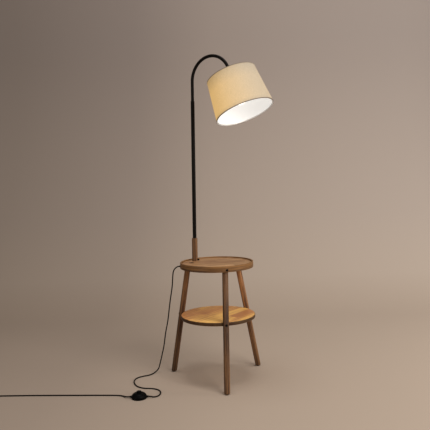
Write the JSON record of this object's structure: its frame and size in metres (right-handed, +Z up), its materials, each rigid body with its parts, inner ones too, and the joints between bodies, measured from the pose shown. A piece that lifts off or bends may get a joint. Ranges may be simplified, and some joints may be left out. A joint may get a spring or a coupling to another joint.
{
  "type": "floor lamp with table",
  "caption": "Round two-tier wooden side table on splayed legs with a gooseneck reading lamp rising from its tray, drum shade and foot switch on the lead.",
  "frame": {"origin": "middle of the lamp's footprint on the floor, its lead left out", "axes": "+Z up; +X to the right as the front of the table is seen; +Y away from the front leg"},
  "size_m": [1.5091, 0.4825, 1.5854],
  "materials": {
    "oak": "clear satin lacquer",
    "oak_dark": "clear satin lacquer",
    "black_steel": "satin black powder coat",
    "zinc_steel": "zinc plated",
    "brass": "plain",
    "black_plastic": "fine matt",
    "black_lead": "smooth sheath",
    "foot_felt": "matt",
    "shade_fabric": "plain weave",
    "bulb_glass": "opal"
  },
  "bodies": {
    "stand": {"tray_rim": "oak", "tray_panel": "oak", "shelf": "oak", "leg_front": "oak_dark", "leg_block_front": "oak_dark", "foot_pad_front": "foot_felt", "leg_right": "oak_dark", "leg_block_right": "oak_dark", "foot_pad_right": "foot_felt", "leg_left": "oak_dark", "leg_block_left": "oak_dark", "foot_pad_left": "foot_felt", "rim_bolts": "black_steel", "shelf_bolts": "black_steel", "thread_inserts": "zinc_steel", "post_sleeve": "oak", "post_bolt": "black_steel", "post_plate": "black_steel", "post_screws": "zinc_steel", "pole": "black_steel", "pole_bush": "black_steel", "neck_link_00": "black_steel", "lead_inside": "black_lead", "lead_clips": "black_plastic", "rim_grommet": "black_plastic", "cord_drop": "black_lead", "switch_base": "black_plastic", "switch_cover": "black_plastic", "switch_contacts": "black_plastic", "switch_spring": "zinc_steel", "switch_screws": "zinc_steel", "switch_reliefs": "black_plastic", "cord_run": "black_lead", "cord_coil": "black_lead", "coil_tie": "black_plastic", "cord_tail": "black_lead", "plug_body": "black_plastic", "plug_pins": "brass"},
    "neck_01": {"neck_link_01": "black_steel"},
    "neck_02": {"neck_link_02": "black_steel"},
    "neck_03": {"neck_link_03": "black_steel"},
    "neck_04": {"neck_link_04": "black_steel"},
    "neck_05": {"neck_link_05": "black_steel"},
    "neck_06": {"neck_link_06": "black_steel"},
    "neck_07": {"neck_link_07": "black_steel"},
    "neck_08": {"neck_link_08": "black_steel"},
    "neck_09": {"neck_link_09": "black_steel"},
    "neck_10": {"neck_link_10": "black_steel"},
    "neck_11": {"neck_link_11": "black_steel"},
    "neck_12": {"neck_link_12": "black_steel", "neck_ferrule": "black_steel", "holder_cap": "black_plastic", "holder_body": "black_plastic", "shade_nut": "black_plastic", "shade_spider": "zinc_steel", "shade": "shade_fabric", "shade_lower_ring": "zinc_steel", "bulb_cap": "brass", "bulb_glass": "bulb_glass"},
    "button": {"switch_button": "black_plastic"}
  },
  "joints": [
    {"name": "neck_bend_1", "type": "hinge", "parent": "stand", "child": "neck_01", "pos_m": [-0.11596, 0.1095, 1.39007], "axis": [0.5878, 0.809, 0], "range_deg": [-14, 4]},
    {"name": "neck_sway_1", "type": "hinge", "parent": "neck_01", "child": "neck_02", "pos_m": [-0.1154, 0.10909, 1.4265], "axis": [0.8089, -0.5877, -0.0192], "range_deg": [-5, 5]},
    {"name": "neck_bend_2", "type": "hinge", "parent": "neck_02", "child": "neck_03", "pos_m": [-0.11483, 0.10867, 1.46293], "axis": [0.5878, 0.809, 0], "range_deg": [-14, 4]},
    {"name": "neck_sway_2", "type": "hinge", "parent": "neck_03", "child": "neck_04", "pos_m": [-0.11051, 0.10553, 1.49883], "axis": [0.7712, -0.5603, -0.3023], "range_deg": [-5, 5]},
    {"name": "neck_bend_3", "type": "hinge", "parent": "neck_04", "child": "neck_05", "pos_m": [-0.09726, 0.09591, 1.5312], "axis": [0.5878, 0.809, 0], "range_deg": [-14, 4]},
    {"name": "neck_sway_3", "type": "hinge", "parent": "neck_05", "child": "neck_06", "pos_m": [-0.0764, 0.08075, 1.55671], "axis": [0.4693, -0.3409, -0.8146], "range_deg": [-5, 5]},
    {"name": "neck_bend_4", "type": "hinge", "parent": "neck_06", "child": "neck_07", "pos_m": [-0.05006, 0.06162, 1.57274], "axis": [0.5878, 0.809, 0], "range_deg": [-14, 4]},
    {"name": "neck_sway_4", "type": "hinge", "parent": "neck_07", "child": "neck_08", "pos_m": [-0.02098, 0.04049, 1.57763], "axis": [-0.0211, 0.0154, -0.9997], "range_deg": [-5, 5]},
    {"name": "neck_bend_5", "type": "hinge", "parent": "neck_08", "child": "neck_09", "pos_m": [0.00786, 0.01954, 1.57087], "axis": [0.5878, 0.809, 0], "range_deg": [-14, 4]},
    {"name": "neck_sway_5", "type": "hinge", "parent": "neck_09", "child": "neck_10", "pos_m": [0.03348, 0.00092, 1.55316], "axis": [-0.503, 0.3655, -0.7832], "range_deg": [-5, 5]},
    {"name": "neck_bend_6", "type": "hinge", "parent": "neck_10", "child": "neck_11", "pos_m": [0.05323, -0.01343, 1.52634], "axis": [0.5878, 0.809, 0], "range_deg": [-14, 4]},
    {"name": "neck_sway_6", "type": "hinge", "parent": "neck_11", "child": "neck_12", "pos_m": [0.06589, -0.02263, 1.49351], "axis": [-0.748, 0.5434, -0.3811], "range_deg": [-5, 5]},
    {"name": "button_press", "type": "slide", "parent": "stand", "child": "button", "axis": [0, 0, 1], "range_m": [-0.003, 0], "stiffness_N_per_m": 900, "springref_m": 0.002, "deforming": ["switch_spring"]}
  ],
  "couplings": [
    {"joint": "neck_bend_2", "follows": "neck_bend_1", "ratio": 1},
    {"joint": "neck_bend_3", "follows": "neck_bend_1", "ratio": 1},
    {"joint": "neck_bend_4", "follows": "neck_bend_1", "ratio": 1},
    {"joint": "neck_bend_5", "follows": "neck_bend_1", "ratio": 1},
    {"joint": "neck_bend_6", "follows": "neck_bend_1", "ratio": 1},
    {"joint": "neck_sway_2", "follows": "neck_sway_1", "ratio": 1},
    {"joint": "neck_sway_3", "follows": "neck_sway_1", "ratio": 1},
    {"joint": "neck_sway_4", "follows": "neck_sway_1", "ratio": 1},
    {"joint": "neck_sway_5", "follows": "neck_sway_1", "ratio": 1},
    {"joint": "neck_sway_6", "follows": "neck_sway_1", "ratio": 1}
  ]
}
